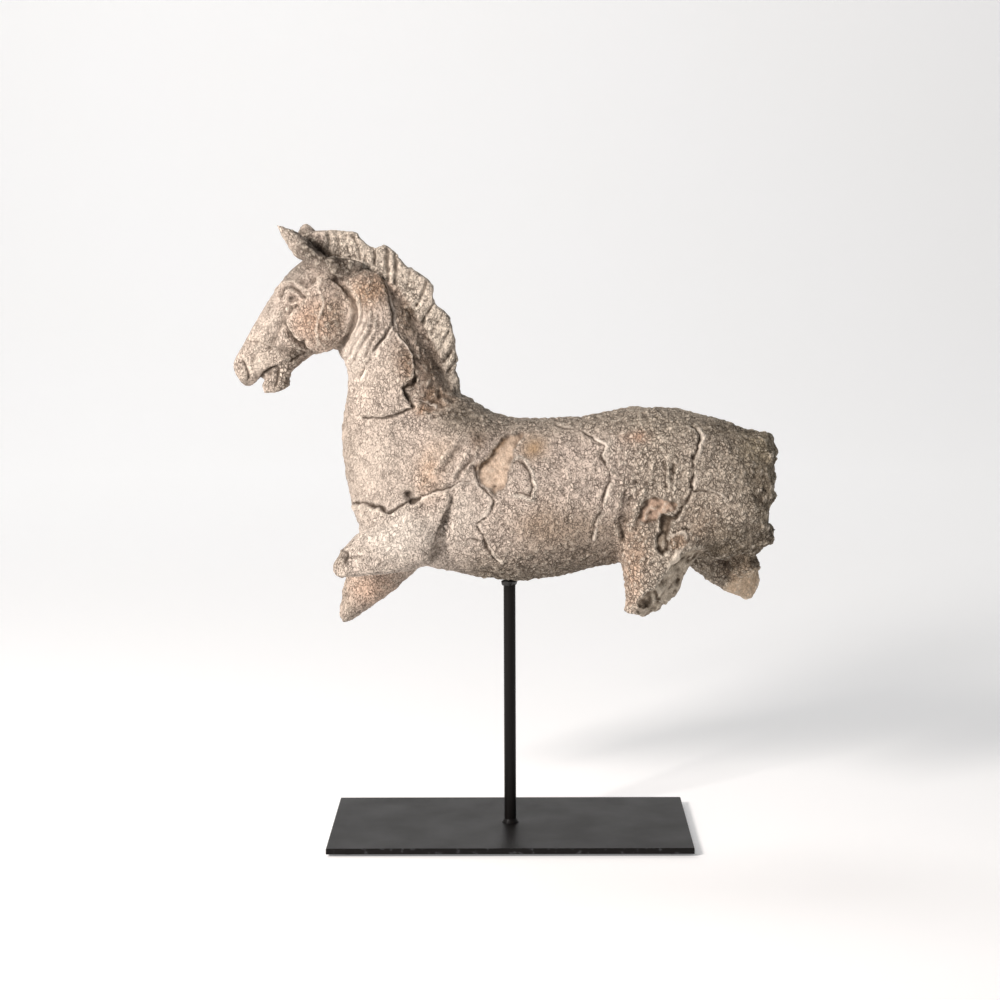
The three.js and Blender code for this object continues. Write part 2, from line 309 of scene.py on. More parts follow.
# larger carving on both sides: push (below 0 is a groove), half width, dirt and painted shade in it and
# route
carving = [
    (-1.9, 2.1, 0.4, [(-142, 466), (-135, 459), (-128, 450), (-125, 442), (-125, 433), (-129, 424),
                      (-134, 415), (-139, 408)]),  # behind the cheek
    (-1.1, 1.1, 0.3, [(-121, 452), (-119, 440), (-121, 430), (-128, 418), (-136, 406)]),  # throat
    (-1.0, 1.0, 0.3, [(-116, 446), (-115, 434), (-120, 422), (-128, 409), (-133, 400)]),
    (-1.2, 1.1, 0.3, [(-112, 440), (-111, 430), (-116, 418), (-124, 405), (-128, 397)]),
    (-1.0, 1.1, 0.3, [(-107, 436), (-107, 426), (-112, 414), (-118, 402)]),
    (1.0, 1.4, 0, [(-124, 446), (-121, 436), (-125, 425), (-132, 412)]),
    (1.0, 1.4, 0, [(-114, 438), (-117, 424), (-125, 411)]),
    (2.2, 1.7, 0, [(-189, 456), (-184, 461.5), (-176, 462.5), (-169, 459), (-164, 454)]),  # brow
    (-1.9, 1.3, 0.75, [(-187, 453), (-184, 458), (-177, 459.5), (-171, 456), (-167, 451)]),
    (1.3, 1.1, 0, [(-184.5, 449), (-183, 454), (-178, 456), (-173, 453.5), (-171, 449.5)]),  # upper lid
    (1.0, 1.0, 0, [(-184, 447), (-179, 444.5), (-173, 446), (-170, 449)]),
    (-1.6, 2.6, 0.3, [(-168, 464), (-164, 463), (-158, 466)]),  # temple
    (0.9, 2.2, 0, [(-150, 468), (-155, 462), (-157, 470)]),
    (1.2, 3.0, 0, [(-188, 438), (-198, 424), (-208, 408)]),  # bridge of the nose
    (-1.5, 2.6, 0.2, [(-186, 432), (-190, 420), (-197, 409)]),
    (-1.8, 1.3, 0.6, [(-184, 429), (-177, 417), (-170, 412), (-163, 408.5)]),  # under the cheek
    (1.2, 1.4, 0, [(-187, 424), (-180, 414), (-172, 409), (-165, 406)]),
    (-1.0, 1.2, 0.5, [(-188, 397), (-179, 399), (-170, 404), (-161, 407)]),  # along the jaw
    (-1.7, 1.2, 0.8, [(-220, 399), (-217, 394.5), (-215.3, 390), (-214.5, 384)]),  # nostril
    (0.7, 1.3, 0, [(-222, 395), (-220, 390)]),
    (1.1, 1.6, 0, [(-216, 401), (-212, 394), (-211, 387)]),
    (-1.0, 1.3, 0.4, [(-211, 398), (-209, 404)]),
    (-1.0, 2.2, 0.6, [(-207, 414), (-206, 415)]),
    (-1.7, 1.2, 0.9, [(-206, 381), (-203, 386.5), (-197.5, 391), (-191, 394)]),  # mouth
    (-1.8, 2.6, 0.35, [(-196, 388), (-192, 390)]),
    (1.3, 1.3, 0, [(-193, 391), (-196, 384), (-199, 377)]),  # edge of the lower lip
    (-1.3, 1.1, 0.8, [(-189.5, 393), (-190, 386), (-192, 379)]),
    (0.9, 1.4, 0, [(-213, 417), (-208, 419), (-203, 417), (-197.5, 412.5), (-192, 409), (-189.5, 403),
                   (-188.6, 398)]),  # fold across the muzzle
    (-0.7, 1.0, 0.35, [(-212, 414.5), (-206, 416), (-201, 413), (-196, 409)]),
    (1.1, 1.3, 0, [(-185, 385), (-178, 389), (-170, 395)]),
    (-0.8, 1.0, 0.6, [(-186, 389), (-178, 393), (-170, 399)]),
    (-1.3, 2.2, 0.15, [(-48, 290), (-48, 283), (-51, 273), (-54, 264)]),  # behind the upper arm
    (-3.0, 5.4, 0.1, [(-52, 266), (-55, 256), (-58, 246), (-61, 237)]),
    (2.2, 3.0, 0, [(112, 290), (107, 280), (104, 270), (101, 258)]),  # fold in front of the thigh
    (-1.7, 2.2, 0.3, [(101, 284), (98, 274), (95, 262), (93, 248)]),
    (-1.2, 1.6, 0.5, [(96, 290), (95, 276), (92, 262), (94, 250)]),
    (1.3, 1.4, 0, [(131, 312), (132, 300), (133, 290)]),  # ripples over the haunch
    (-1.0, 1.2, 0.3, [(129, 314), (129.5, 302), (130, 292)]),
    (1.1, 1.3, 0, [(139, 310), (137, 298), (136, 288)]),
    (-0.9, 1.2, 0.3, [(136, 312), (134.5, 300), (134, 288)]),
    (0.9, 1.8, 0, [(120, 318), (118, 304), (116, 294)]),
    (1.0, 2.0, 0, [(102, 306), (101, 296), (104, 288)]),
    (1.0, 2.0, 0, [(44, 318), (50, 304), (52, 290)]),  # ribs
    (-0.8, 2.0, 0.1, [(38, 316), (44, 300), (46, 286)]),
    (1.4, 1.8, 0, [(-47, 301), (-43, 309), (-38, 318), (-34, 325)]),  # behind the shoulder
    (-1.4, 1.5, 0.4, [(-43, 300), (-40, 307), (-34, 314), (-30, 318)]),
    (1.3, 1.8, 0, [(-36, 305), (-31, 313), (-27, 322), (-26, 330)]),
    (1.4, 2.4, 0, [(-62, 306), (-54, 318), (-46, 330)]),
    (-1.1, 2.2, 0.2, [(-54, 308), (-48, 318), (-41, 328)]),
    (1.4, 4.0, 0, [(-92, 298), (-87, 290), (-82, 294)]),
    (1.1, 1.3, 0, [(-138, 238), (-126, 242), (-112, 240)]),  # wrinkles of the forearm
    (-0.9, 1.2, 0.3, [(-138, 234), (-126, 236), (-108, 233)]),
    (1.0, 1.4, 0, [(-100, 236), (-84, 238), (-74, 234)]),
    (-0.9, 1.3, 0.3, [(-121, 277), (-116, 270), (-112, 262)]),
]

# furrows between the locks of the mane: depth and route
furrows = [
    (1.4, [(-147, 503), (-146, 492)]),
    (1.2, [(-140, 503), (-138, 490), (-136, 478)]),
    (0.8, [(-133, 502), (-131, 490), (-129, 482)]),
    (2.0, [(-127, 501), (-122, 490), (-121, 482)]),
    (0.8, [(-116, 495), (-117, 480)]),
    (2.4, [(-109, 493), (-109, 478)]),
    (2.6, [(-99, 493), (-99, 478), (-98, 464)]),
    (2.6, [(-92, 486), (-91, 471), (-93, 460)]),
    (1.2, [(-80, 475), (-82, 462), (-85, 452)]),
    (2.4, [(-66, 466), (-70, 453), (-75, 444)]),
    (2.4, [(-60, 447), (-66, 437), (-71, 428)]),
    (2.0, [(-51, 440), (-58, 430), (-63, 421)]),
    (2.0, [(-46, 426), (-53, 415), (-58, 407)]),
    (2.0, [(-42, 413), (-49, 403), (-54, 397)]),
    (1.8, [(-41, 401), (-47, 392), (-51, 387)]),
]

# cracks: depth, half width, raised lip (below 0 on the left) and route
nearCracks = [
    (0.7, 0.8, 0.8, [(-109, 471), (-103, 464), (-99, 455), (-97, 446), (-95.5, 436), (-95, 427)]),
    (0.5, 0.7, 1.6, [(-98, 425), (-106, 413), (-112, 404), (-117, 394), (-122, 383)]),
    (1.1, 0.9, -1.4, [(-90, 420), (-83, 412), (-78, 403), (-76.5, 392), (-77, 382)]),
    (2.0, 1.4, 0, [(-76, 386), (-78, 379), (-86, 376), (-83, 368), (-80, 361)]),
    (0.8, 0.8, -0.5, [(-79, 360), (-87, 355), (-97, 352), (-108, 351), (-121, 352)]),
    (1.0, 0.9, 0.4, [(-75, 364), (-68, 362), (-62, 360)]),
    (1.2, 0.9, -0.8, [(-130, 281), (-119, 280), (-108, 278), (-103, 274), (-99, 273), (-93, 277),
                      (-84, 281)]),
    (1.6, 1.1, 0.9, [(-82, 281), (-76, 283), (-71, 287), (-64, 289), (-56, 291), (-50, 293)]),
    (1.3, 0.9, 0.9, [(-50, 292), (-45, 295), (-41, 298), (-33, 299), (-27, 299)]),
    (2.2, 1.5, 0, [(-29, 311), (-27, 305), (-25, 298)]),
    (1.5, 1.0, -0.8, [(-25, 297), (-21, 292), (-16, 287), (-13, 281), (-15, 275), (-19, 269), (-26, 262)]),
    (1.2, 0.9, 1.0, [(-26, 260), (-22, 252), (-19, 243), (-14, 236), (-9, 230)]),
    (1.0, 1.0, 0.6, [(-54, 243), (-43, 247), (-32, 249), (-26, 248)]),
    (0.9, 0.9, 1.0, [(38, 345), (47, 343), (58, 341), (66, 336), (73, 331)]),
    (1.6, 1.1, 1.4, [(73, 331), (78, 327), (76, 320), (80, 314), (82, 305), (84, 298), (80, 290),
                     (77, 282)]),
    (1.0, 1.0, 1.6, [(77, 282), (76, 274), (71, 263), (68, 250)]),
    (1.0, 0.9, -0.8, [(146, 346), (150, 344), (155, 341)]),
    (1.8, 1.1, 1.4, [(155, 341), (158, 334), (156, 325), (153, 318), (152, 308), (152, 299), (152, 291)]),
    (1.5, 1.0, 1.5, [(152, 291), (147, 281), (142, 272), (137, 267)]),
    (1.0, 1.0, 0.9, [(154, 289), (161, 290), (170, 288), (178, 283)]),
    (0.7, 0.8, 0, [(-139, 243), (-135, 236), (-137, 229)]),
    (1.4, 1.0, 0.8, [(-140, 212), (-133, 205), (-131, 196), (-138, 186)]),
]
farCracks = [
    (1.5, 1.1, 0.9, [(-26, 346), (-18, 332), (-22, 317), (-13, 302), (-17, 287), (-9, 272)]),
    (1.0, 0.9, -0.8, [(-18, 332), (-4, 327), (10, 330), (23, 324)]),
    (2.0, 1.2, 1.1, [(98, 346), (93, 332), (99, 318), (95, 304), (102, 290), (98, 276), (106, 262)]),
    (1.1, 0.9, 0.9, [(99, 318), (113, 313), (126, 317)]),
    (1.6, 1.0, -0.9, [(-120, 296), (-106, 292), (-93, 297), (-80, 290), (-67, 295), (-54, 289)]),
    (1.2, 0.9, 1.0, [(-97, 436), (-89, 420), (-93, 403), (-86, 388), (-94, 371)]),
    (1.0, 0.9, 0.8, [(-93, 403), (-104, 396), (-112, 400)]),
    (1.2, 1.0, 0.9, [(160, 340), (167, 325), (160, 311), (167, 295)]),
    (0.5, 0.7, 0.7, [(-160, 458), (-155, 444), (-160, 430), (-156, 417)]),
]


def readCopy(node):  # a merged copy of a CAD node's mesh
    bm = bmesh.new()
    bm.from_mesh(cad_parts[node].data)
    bmesh.ops.remove_doubles(bm, verts=bm.verts, dist=0.01 * mm)
    return finishMesh(bm, node + "_clay")


def applyModifiers(piece):
    graph = bpy.context.evaluated_depsgraph_get()
    mesh = bpy.data.meshes.new_from_object(piece.evaluated_get(graph))
    piece.modifiers.clear()
    piece.data = mesh


def remesh(piece, voxel):
    modifier = piece.modifiers.new("remesh", "REMESH")
    modifier.mode = "VOXEL"
    modifier.voxel_size = voxel * mm
    applyModifiers(piece)


def thin(piece, triangles):  # fewer triangles, kept where the surface turns
    modifier = piece.modifiers.new("thin", "DECIMATE")
    modifier.ratio = triangles / sum(len(polygon.vertices) - 2 for polygon in piece.data.polygons)
    applyModifiers(piece)


def readVectors(items, name):
    flat = np.empty(len(items) * 3)
    items.foreach_get(name, flat)
    return flat.reshape(-1, 3)


def soften(points, edges, passes, share):  # each point moves towards the middle of its neighbours
    first, second = edges.T
    count = np.bincount(edges.ravel(), minlength=len(points))[:, None]
    for _ in range(passes):
        total = np.stack([
            np.bincount(first, points[second, axis], len(points))
            + np.bincount(second, points[first, axis], len(points)) for axis in range(3)], axis=1)
        points = points + share[:, None] * (total / count - points)
    return points


class Clay:  # the points of the figure, with what is painted on them
    def __init__(self, mesh):
        self.mesh = mesh
        self.points = readVectors(mesh.vertices, "co") / mm
        edges = np.empty(len(mesh.edges) * 2, int)
        mesh.edges.foreach_get("vertices", edges)
        self.edges = edges.reshape(-1, 2)
        count = len(self.points)
        self.dark = np.zeros(count)  # dirt and painted shade in grooves, cracks and pits
        self.bare = np.zeros(count)  # smooth clay without crackle
        self.tint = np.tile(np.array(linear(clayLook["base"])[:3]), (count, 1))
        self.refresh()

    def refresh(self):
        self.mesh.vertices.foreach_set("co", (self.points * mm).ravel())
        self.mesh.update()
        self.normals = readVectors(self.mesh.vertex_normals, "vector")

    def settle(self):  # fixes the places that the carving is laid out by
        eyeX, eyeY, eyeZ = horse["seenFrom"]
        share = np.abs(self.points[:, 1:2]) / eyeY
        self.side = (self.points[:, [0, 2]] - share * (eyeX, eyeZ)) / (1 - share)
        self.placed = self.points.copy()
        self.near = ramp(-self.points[:, 1], -3, 3)

    def noise(self, size, seed):
        return softNoise(self.placed, size, seed)

    def flat(self, wander, size, seed):  # side-view places, shaken a little so that lines wander
        shake = [self.noise(size, seed), self.noise(size, seed + 1)]
        return self.side + wander * np.stack(shake, axis=1)

    def push(self, amount):  # outwards, in millimetres
        self.points = self.points + amount[:, None] * self.normals

    # darker towards the crevice colour: dirt, and painted shade in grooves, cracks and pits
    def darken(self, share):
        self.dark = np.maximum(self.dark, share)

    def strip(self, share):
        self.bare = np.maximum(self.bare, share)

    def paint(self, colour, share):
        self.tint += share[:, None] * (np.array(linear(colour)[:3]) - self.tint)


def maneShare(points):  # 1 on the mane
    root = np.array(horse["maneRoot"], float)
    x, y, z = points.T
    rootAt = np.interp(z, root[:, 1], root[:, 0])
    return ramp(x - rootAt, 0, 4) * (z > 368) * (x < -36) * (np.abs(y) < 13)


def smoothBody(clay):
    x, y, z = clay.points.T
    # thin parts and torn ends keep their shape
    thin = np.maximum.reduce([
        maneShare(clay.points),
        ramp(z, 478, 488),  # ears
        ramp(-x, 196, 206) * 0.7,  # muzzle
        ramp(z, 372, 374) * ramp(-z, -398, -392) * (x < -178) * 0.7,  # lower jaw
        ramp(-x, 126, 138) * (z < 256) * 0.8,  # ends of the forearms
        ramp(-z, -214, -202) * (x > 80) * 0.8,  # ends of the hind stumps
        ramp(x, 194, 204) * 1.05,  # rump
    ])
    share = horse["softenShare"] * (1 - 0.9 * thin)
    clay.points = soften(clay.points, clay.edges, horse["softenPasses"], share)
    fromRoot = strokeDistance(clay.points[:, [0, 2]], horse["maneRoot"])
    crest = ramp(fromRoot, 3, 16) * maneShare(clay.points)
    clay.points[:, 1] *= 1 - horse["maneTaper"] * crest
    clay.refresh()
    clay.settle()


def carveForms(clay):  # the larger carving, on both sides
    flat = clay.flat(0.8, 7, 11)
    for height, edge, outline in plates:
        clay.push(height * ramp(insideOutline(flat, outline), -0.5 * edge, 0.7 * edge))
    clay.refresh()
    for push, width, dirtAndShade, route in carving:
        line = stroke(flat, route, width)
        clay.push(push * line)
        if dirtAndShade:
            clay.darken(dirtAndShade * line)
    clay.refresh()
    mane = maneShare(clay.placed) * clay.normals[:, 1] ** 2 * (0.75 + 0.5 * clay.noise(6, 15))
    for depth, route in furrows:
        distance = strokeDistance(flat, route)
        clay.push((0.3 * depth * bump(distance - 3.0, 1.6) - 0.95 * depth * bump(distance, 1.2)) * mane)
        clay.darken(0.3 * depth * bump(distance, 1.0) * mane)
    clay.refresh()
    eyeX, eyeZ = horse["eye"]
    eye = np.hypot((clay.side[:, 0] - eyeX) / 1.3, clay.side[:, 1] - eyeZ)
    clay.push(0.9 * bump(eye, 2.4) - 0.7 * bump(eye - 2.8, 0.7) - 0.6 * bump(eye, 1.2))
    clay.darken(0.4 * bump(eye - 2.8, 0.6))
    clay.darken(np.clip(1.4 * bump(eye, 2.1), 0, 1))
    knob = np.hypot(*(clay.side - horse["knob"]).T)
    clay.push(1.2 * bump(knob, 2.0) - 0.8 * bump(knob - 3.3, 0.9))
    clay.darken(0.4 * bump(knob - 3.3, 0.8))
    clay.paint("#DDD0C3", 0.7 * bump(knob, 2.4))
    clay.refresh()


def carveCracks(clay, cracks, side):
    flat = clay.flat(1.3, 9, 61) + 0.7 * (clay.flat(1, 3.5, 71) - clay.side)
    vary = 1 + 0.6 * clay.noise(11, 81)
    lipShare = np.clip(0.65 + 1.4 * clay.noise(11, 83), 0.2, 1.2)
    for depth, width, lip, route in cracks:
        distance = strokeDistance(flat, route)
        cut = bump(distance, width * vary) * side
        clay.push(-depth * vary * cut)
        # deeper cracks are painted darker: dirt and painted shade
        clay.darken(np.clip((0.3 + 0.7 * depth) * vary, 0, 1) * cut)
        if lip:
            shifted = strokeDistance(flat - (math.copysign(2.3 * width, lip), 0), route)
            ridge = bump(shifted, 1.5 * width) * lipShare * side
            clay.push(0.6 * abs(lip) * ridge)
            clay.paint("#E4D6C8", np.clip(0.85 * ridge, 0, 1) * (1 - cut))
            clay.strip(np.clip(0.8 * ridge, 0, 1))
    clay.refresh()


# flaked places: side, depth, colour of the bare clay and outline
flakes = {
    "barrel": (-1, 2.4, "#CCB39C", [
        (13, 339), (2, 338), (-6, 335), (-12, 325), (-18, 317), (-25, 310), (-26, 303), (-23, 297),
        (-16, 291), (-12, 284), (-8, 290), (-3, 293), (-1, 300), (1, 311), (5, 318), (5, 325), (8, 331),
        (13, 335)]),
    "thigh": (-1, 1.6, "#B89A85", [
        (118, 286), (112, 281), (108, 272), (106, 266), (113, 262), (122, 263), (126, 269), (140, 275),
        (142, 279), (134, 281), (126, 284)]),
    "far barrel": (1, 1.8, "#C8AC92", [
        (30, 306), (41, 311), (53, 304), (58, 293), (50, 283), (38, 287), (29, 294)]),
}

# broken places on the near side
broken = {
    "step": [(-4, 334), (-11, 325), (-18, 316), (-26, 309)],  # down into the barrel's flake
    # skin left beside the barrel's flake
    "island": [(3, 314), (9, 316), (14, 312), (18, 304), (20, 293), (18, 285), (8, 287), (-1, 289),
               (-5, 293), (-1, 300), (1, 308)],
    # the deep recess in the thigh, the oval beside it and the pale ring with a disc in it
    "recess": [(126, 271), (140, 268), (135, 261), (133, 254), (134, 246), (133, 238), (128, 234),
               (123, 241), (122, 250), (124, 260)],
    "oval": (127.5, 246),
    "ring": [(133, 255), (140, 258), (147, 258), (151, 252), (150.5, 244), (146, 237), (140, 231),
             (134, 224), (130, 221), (129, 226), (133, 232), (137, 238), (134, 247)],
    "disc": (140.5, 247),
    # at the foot of the mane
    "crumbled": [(-80, 384), (-66, 384), (-52, 376), (-44, 366), (-46, 354), (-62, 350), (-80, 357),
                 (-84, 368)],
    # holes along the shoulder crack, torn pits low on the neck and small dark pits: place, radius and depth
    "pits": [
        (-84, 286, 4.2, 3.4), (-80, 282, 3, 2.2), (-78, 380, 3.2, 1.8), (-82, 370, 2.4, 1.4),
        (-168, 415, 2.0, 2.2), (-12, 293, 1.1, 1.8), (105, 297, 2.8, 0.7), (171, 296, 5, 0.8),
        (-24, 336, 4.5, 1.0), (94, 266, 2.6, 1.0), (89, 264, 2.2, 0.8), (-186, 407, 5, 0.8),
    ],
}


def carveFlakes(clay):
    near = clay.near
    flat = clay.flat(1.4, 5, 21)
    for side, depth, colour, outline in flakes.values():
        here = near if side < 0 else 1 - near
        inside = insideOutline(flat, outline) + 1.2 * clay.noise(4, 24)
        floor = ramp(inside, -0.3, 1.6) * here
        grain = -depth + 1.6 * clay.noise(7, 25) + 0.9 * clay.noise(3, 26)
        clay.push(floor * grain)
        clay.strip(0.8 * floor)
        clay.paint(colour, 0.9 * floor)
        clay.darken(0.75 * bump(inside - 0.2, 0.8) * here)
    # the step down into the barrel's flake lies in shade
    step = stroke(flat, broken["step"], 2.2) * near
    clay.paint("#8A6B4B", 0.8 * step)
    # the island of skin beside it has a raised pale rim
    island = insideOutline(flat, broken["island"])
    clay.push((1.2 * bump(island + 1.8, 1.4) - 1.5 * bump(island - 1.0, 1.0)) * near * (flat[:, 0] > 4))
    clay.darken(0.9 * bump(island - 0.8, 0.9) * near * (flat[:, 0] > 10))
    clay.paint("#E4D8CA", 0.8 * bump(island + 2.0, 1.4) * near * ramp(flat[:, 0], -2, 4))
    recess = clay.noise(5, 29) + insideOutline(flat, broken["recess"])
    hollow = ramp(recess, -0.5, 2.2) * near
    clay.push(-4.0 * hollow)
    clay.strip(0.7 * hollow)
    clay.paint("#80705F", 0.85 * hollow)
    clay.darken(0.6 * bump(recess - 0.6, 1.0) * near)
    ovalX, ovalZ = broken["oval"]
    oval = np.hypot((flat[:, 0] - ovalX) / 0.55, flat[:, 1] - ovalZ)
    clay.push(1.8 * bump(oval, 6.0) * near - 1.2 * bump(oval - 9, 1.4) * near)
    ring = insideOutline(flat, broken["ring"]) + 2.6 * clay.noise(5, 27) - 0.6
    clay.push(1.8 * ramp(ring, -1.0, 1.5) * near)
    clay.strip(0.8 * ramp(ring, -0.5, 0.5) * near)
    clay.paint("#DFCFBE", 0.85 * ramp(ring, -0.8, 1.2) * near)
    discX, discZ = broken["disc"]
    disc = np.hypot((flat[:, 0] - discX) * 0.9, flat[:, 1] - discZ) + 1.6 * clay.noise(5, 28)
    clay.push(-2.0 * bump(disc, 6) * near)
    clay.paint("#A58C76", 0.9 * ramp(-disc, -7.4, -5.8) * near)
    clay.bare *= 1 - 0.9 * ramp(-disc, -7.2, -6.0) * near
    clay.darken(0.7 * bump(disc - 6.9, 0.7) * near * ramp(flat[:, 0], 134, 138))
    crumbled = ramp(insideOutline(flat, broken["crumbled"]), -1, 2) * near
    clay.push(crumbled * (1.8 * clay.noise(4.5, 39) + 0.9 * clay.noise(2.6, 40)))
    # a pale seam wanders down the cheek, with a fine groove beside it whose shadow is painted dark
    seam = stroke(flat, horse["cheekSeam"], 0.8) * near
    beside = stroke(flat - (1.9, 0), horse["cheekSeam"], 0.8) * near
    clay.push(0.5 * seam - 0.4 * beside)
    clay.paint("#E0D2C3", 0.5 * seam)
    clay.strip(0.6 * seam)
    clay.darken(0.5 * beside)
    for x, z, radius, depth in broken["pits"]:
        pit = bump(np.hypot(flat[:, 0] - x, flat[:, 1] - z), radius) * near
        clay.push(-depth * pit)
        # deeper pits are painted darker: dirt and painted shade
        clay.darken(min(1, 0.35 * depth + 0.1) * pit)
    clay.refresh()


torn = {
    "unbroken": (205, 326),  # the rump's top corner is less torn
    "corner": (212, 331),
    # notches in the rump: place, radius and depth
    "notches": [
        (225, 272, 6, 6), (226, 243, 5, 3), (226, 311, 4, 3), (226, 294, 3.5, 3), (206, 300, 5, 2.5),
        (205, 284, 5, 2), (200, 256, 7, 2.5),
    ],
    "split": [(106, 200), (121, 209), (130, 221), (134, 231), (151, 240)],  # up the near hind stump
}


def tearBreaks(clay):  # coarse torn clay where the legs and the rump broke off
    x, y, z = clay.placed.T
    share = np.maximum.reduce([
        ramp(x, 194, 208),  # rump
        ramp(x, 150, 178) * ramp(-z, -248, -236),  # far hind stump
        ramp(-x, 130, 138) * (z < 250),  # forearms
        ramp(-z, -214, -204) * (x > 88) * (y < 2),  # near hind stump
        0.35 * maneShare(clay.placed),
    ])
    share = share * (1 - 0.8 * bump(np.hypot(*(clay.side - torn["unbroken"]).T), 13))
    clay.torn = share
    coarse = clay.noise(13, 31) + 0.6 * clay.noise(6, 32)
    clay.push(share * (2.4 * coarse - 0.8) * np.where(x > 150, 1, 0.45))
    # notches in the torn rump, and a ragged lower edge
    for atX, atZ, radius, depth in torn["notches"]:
        pit = bump(np.hypot(clay.side[:, 0] - atX, clay.side[:, 1] - atZ), radius)
        clay.push(-depth * pit * np.where(y < 0, 1, 0.5))
        clay.darken(0.3 * pit)
    under = 5 * ramp(x, 150, 168) * ramp(-z, -256, -244) * ramp(-y, -6, 6)
    clay.points[:, 2] += under * clay.noise(15, 34)
    # the top corner of the rump broke off square
    clay.points[:, 2] += 3.5 * bump(np.hypot(*(clay.side - torn["corner"]).T), 9)
    # and the near stump ends in a ragged edge
    low = ramp(x, 100, 107) * ramp(-x, -147, -138) * ramp(-z, -226, -206) * ramp(-y, -4, 4)
    drop = 3.5 + 3.0 * clay.noise(7, 37) + 2.0 * clay.noise(3.5, 38)
    clay.points[:, 2] -= low * drop
    # under the rump the clay runs on into the far leg
    gap = ramp(x, 150, 166) * bump(z - 244, 12) * ramp(-x, -214, -204) * ramp(y + 40, 0, 14)
    clay.points = soften(clay.points, clay.edges, 50, horse["softenShare"] * gap)
    clay.refresh()
    # the hind stump is split on a slant: behind the split it falls back towards the far side
    splitX, splitZ = np.array(torn["split"], float).T
    edgeAt = np.interp(clay.side[:, 1], splitZ, splitX)
    behind = clay.side[:, 0] - edgeAt - 1.2 * clay.noise(6, 33)
    stump = ramp(-x, -164, -150) * (x > 88)
    share = ramp(behind, 0, 3) * ramp(-clay.side[:, 1], -243, -237) * ramp(-y, 10, 22) * stump
    clay.points[:, 1] += share * np.minimum(2.5 + np.abs(behind) * 0.8, 16)
    chunks = clay.noise(7, 35) + 0.6 * clay.noise(3.5, 36)
    clay.points[:, 1] += 2.6 * share * chunks
    clay.paint("#B0A18D", 0.75 * share)
    # chunks standing forward are painted pale and those set back dark: painted light and shade
    clay.paint("#E2D4C2", 0.75 * share * ramp(-chunks, 0.1, 0.5))
    clay.paint("#5A4E40", 0.6 * share * ramp(chunks, 0.35, 0.9))
    clay.strip(0.6 * share)
    rim = bump(behind + 0.8, 1.6) * ramp(-clay.side[:, 1], -246, -240) * ramp(-y, 12, 20) * stump
    clay.paint("#DFD1C1", 0.75 * rim)
    clay.refresh()


# stains, and a few painted shades: middle, half sizes, colour, strength and side (-1 near, 1 far, 0 both)
stainsAndShade = [
    ((-112, 318), (36, 42), "#C4B6A8", 0.68, 0),
    ((-134, 322), (9, 40), "#AFA193", 0.65, 0),
    ((-92, 252), (44, 26), "#E2D7CA", 0.75, 0),
    ((-36, 272), (12, 26), "#D5C9BC", 0.6, 0),
    ((-128, 408), (14, 26), "#DCD0C3", 0.7, 0),
    ((-104, 384), (20, 26), "#CDBEAF", 0.6, 0),
    ((-160, 430), (22, 19), "#BB967B", 0.72, 0),
    ((-142, 438), (10, 22), "#A08872", 0.6, 0),
    ((-112, 456), (16, 14), "#CDA583", 0.75, 0),
    ((-84, 393), (10, 13), "#A98465", 0.65, -1),
    ((-70, 360), (10, 6), "#C2946E", 0.6, -1),
    ((-68, 305), (10, 18), "#CBA88A", 0.6, -1),
    ((-55, 322), (12, 12), "#CEB7A1", 0.5, -1),
    ((18, 327), (12, 9), "#AB8A62", 0.8, -1),
    ((-24, 334), (9, 8), "#7F6349", 0.6, -1),
    ((26, 262), (20, 16), "#B39679", 0.45, -1),
    ((102, 228), (12, 34), "#CCA98E", 0.7, -1),
    ((104, 334), (10, 6), "#BA8C70", 0.6, -1),
    ((160, 262), (16, 18), "#B49A83", 0.5, -1),
    ((-205, 402), (18, 20), "#C4B5A5", 0.6, 0),
    ((-206, 396), (8, 9), "#E0D2C2", 0.6, 0),
    ((-222, 386), (6, 18), "#A2968A", 0.6, 0),
    ((-196, 430), (14, 18), "#CBBDAF", 0.6, 0),
    ((-178, 472), (17, 10), "#90867B", 0.9, 0),
    ((-196, 446), (6, 16), "#A79B8F", 0.6, 0),
    ((-179, 402), (10, 7), "#6E6154", 0.75, 0),
    ((-186, 380), (9, 8), "#8F8274", 0.7, 0),
    ((-120, 205), (28, 22), "#D0AC92", 0.6, 1),
    ((-139, 195), (7, 28), "#B9AA9A", 0.7, 1),
    ((-134, 474), (20, 9), "#665A4D", 0.85, 0),
    ((-165, 490), (13, 11), "#7B7166", 0.75, -1),
    # painted shade at the root of the near ear
    ((-146, 481), (10, 7), "#5A4F44", 0.8, -1),
    ((-140, 235), (6, 10), "#8D8173", 0.65, -1),
    ((-56, 366), (16, 9), "#8A6E55", 0.5, -1),
    ((-180, 501), (8, 8), "#8A8074", 0.6, -1),
    ((-80, 438), (13, 26), "#8E7760", 0.75, 0),
    # painted shade along the mane's root, over darker clay
    ((-64, 395), (11, 26), "#705A46", 0.8, 0),
    ((-60, 370), (14, 8), "#907259", 0.65, 0),
    ((185, 248), (28, 13), "#6A5E4A", 0.68, 0),
    ((60, 258), (44, 16), "#8A7865", 0.68, 0),
    ((58, 240), (40, 12), "#857767", 0.5, 0),
    ((196, 216), (13, 15), "#E2C8AC", 0.85, 0),
    ((168, 226), (12, 10), "#7A6D5C", 0.5, 0),
    ((-40, 352), (26, 9), "#6F6557", 0.65, 0),
    ((172, 341), (26, 7), "#6E6352", 0.5, 0),
    ((206, 326), (12, 9), "#B3A58C", 0.7, 0),
    ((85, 325), (4, 7), "#D9CCBD", 0.8, -1),
]

